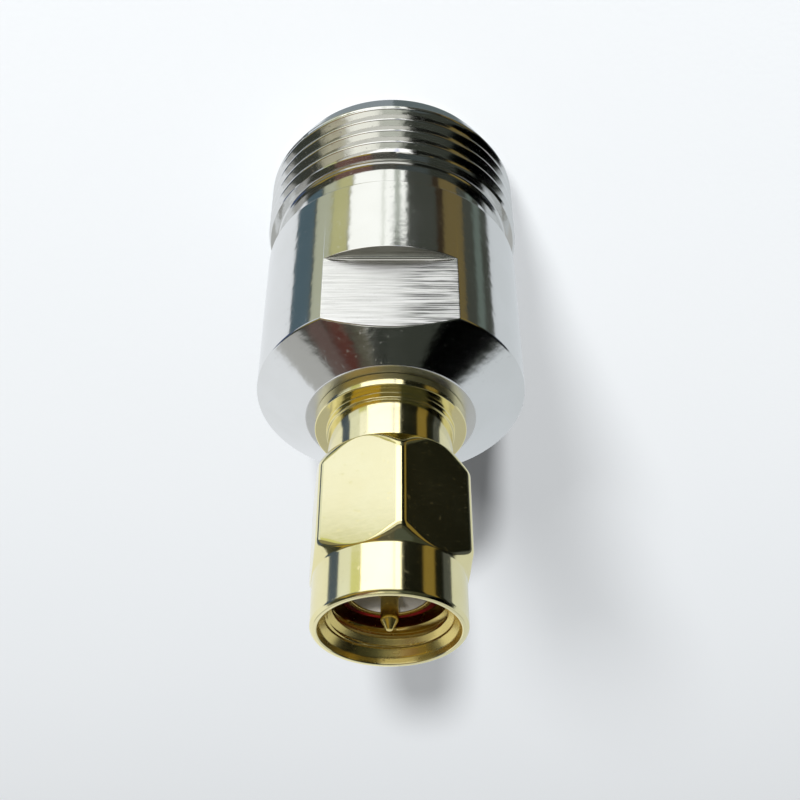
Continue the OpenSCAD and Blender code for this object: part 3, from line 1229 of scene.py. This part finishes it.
NICKEL = PlatedMetal(
    name="bright_nickel",
    slot=Slot.NICKEL,
    colour=(0.82, 0.82, 0.81),
    deep_colour=(0.79, 0.79, 0.775),
    roughness=0.10,
    ring_rate=11.0,
    ring_relief=0.0005,
    peel_rate=2.0,
    peel_relief=0.005,
    grain_relief=0.0004,
    workings=(
        MilledFlats(start=14.1, roughness=0.24, half_width=6.7, relief=0.014),
        FacedEnd(start=19.0, roughness=0.24),
    ),
)
GOLD = PlatedMetal(
    name="bright_gold",
    slot=Slot.GOLD,
    colour=(0.95, 0.87, 0.51),
    deep_colour=(0.92, 0.83, 0.46),
    roughness=0.11,
    peel_relief=0.0009,
    grain_relief=0.0003,
    # The bore's darker gold is painted shade inside the nut's mouth; its extra roughness is the real
    # duller plating.
    workings=(ThreadedBore(start=30.3, roughness=0.14, radius=3.6, colour=(0.82, 0.66, 0.24)),),
)
# Off-white and darker than clean white PTFE: in part painted shade, for the insulators sitting deep
# inside their bores.
PTFE = MouldedPlastic(
    name="white_ptfe",
    slot=Slot.PTFE,
    colour=(0.76, 0.73, 0.66),
    deep_colour=(0.70, 0.67, 0.60),
    roughness=0.5,
)
SILICONE = MouldedPlastic(
    name="red_silicone",
    slot=Slot.SILICONE,
    colour=(0.13, 0.006, 0.005),
    deep_colour=(0.16, 0.009, 0.007),
    roughness=0.6,
    sheen_level=0.25,
)

PLUG_BODY = TurnedTube(
    name="plug_body_turned",
    node="sma_body",
    body=Body.ADAPTER,
    profile=(
        (2.05, 16.07, 0.05),
        (3.83, 16.07, 0.05),
        (3.98, 16.22, 0.05),
        (3.98, 20.10, 0.03),
        (4.25, 20.10, 0.05),
        (4.25, 20.88, 0.07),
        (3.57, 20.88, 0.05),
        (3.57, 21.23, 0.06),
        (3.45, 21.23, 0.04),
        (3.45, 23.83, 0.10),
        (2.72, 23.83, 0.05),
        (2.72, 24.88, 0.03),
        (2.35, 24.88, 0.03),
        (2.35, 25.73, 0.03),
        (2.72, 25.73, 0.03),
        (2.72, 29.83, 0.06),
        (2.30, 29.83, 0.05),
        (2.30, 31.13, 0.05),
        (2.05, 31.13, 0.05),
    ),
)
JACK_BUSH = TurnedTube(
    name="jack_bush_turned",
    node="n_insulator",
    body=Body.ADAPTER,
    profile=(
        (1.07, 9.30, 0.06),
        (3.48, 9.30, 0.06),
        (3.48, 11.03, 0.05),
        (3.98, 11.03, 0.06),
        (3.98, 16.04, 0.06),
        (1.07, 16.04, 0.06),
    ),
    columns=120,
)
PLUG_BUSH = TurnedTube(
    name="plug_bush_turned",
    node="sma_insulator",
    body=Body.ADAPTER,
    profile=((0.655, 16.07, 0.05), (2.03, 16.07, 0.05), (2.03, 31.08, 0.05), (0.655, 31.08, 0.04)),
    columns=120,
)
PLUG_PIN = TurnedTube(
    name="plug_pin_turned",
    node="sma_pin",
    body=Body.ADAPTER,
    profile=(
        (0.0, 12.50, 0.0),
        (0.475, 12.50, 0.05),
        (0.475, 15.00, 0.05),
        (0.635, 15.00, 0.05),
        (0.635, 31.08, 0.05),
        (0.457, 31.08, 0.03),
        (0.457, 32.58, 0.10),
        (0.150, 33.13, 0.06),
        (0.0, 33.13, 0.0),
    ),
    looped=False,
    columns=72,
)
GASKET = TurnedTube(
    name="gasket_ring",
    node="gasket",
    body=Body.ADAPTER,
    profile=((2.32, 29.86, 0.12), (2.72, 29.86, 0.12), (2.72, 31.07, 0.14), (2.32, 31.07, 0.12)),
)


def dress_snap_ring() -> None:
    """Gives the hidden snap ring its plating and a broken edge; its solid keeps its shape."""
    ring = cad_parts["snap_ring"]
    GOLD.dress(ring)
    edge = ring.modifiers.new("broken_edge", "BEVEL")
    edge.width = 0.04 * MM
    edge.segments = 2
    LOG.info("snap_ring: carried over, rides on %s", Body.SNAP_RING.value)


def main() -> None:
    """Builds the adapter piece by piece, then its studio."""
    logging.basicConfig(level=logging.INFO, format="%(name)s: %(message)s")
    Studio().build()
    JackShell().build(NICKEL)
    JACK_BUSH.build(PTFE)
    SocketContact().build(GOLD)
    PLUG_BODY.build(GOLD)
    PLUG_BUSH.build(PTFE)
    PLUG_PIN.build(GOLD)
    GASKET.build(SILICONE)
    CouplingNut().build(GOLD)
    dress_snap_ring()


if __name__ == "__main__":
    main()
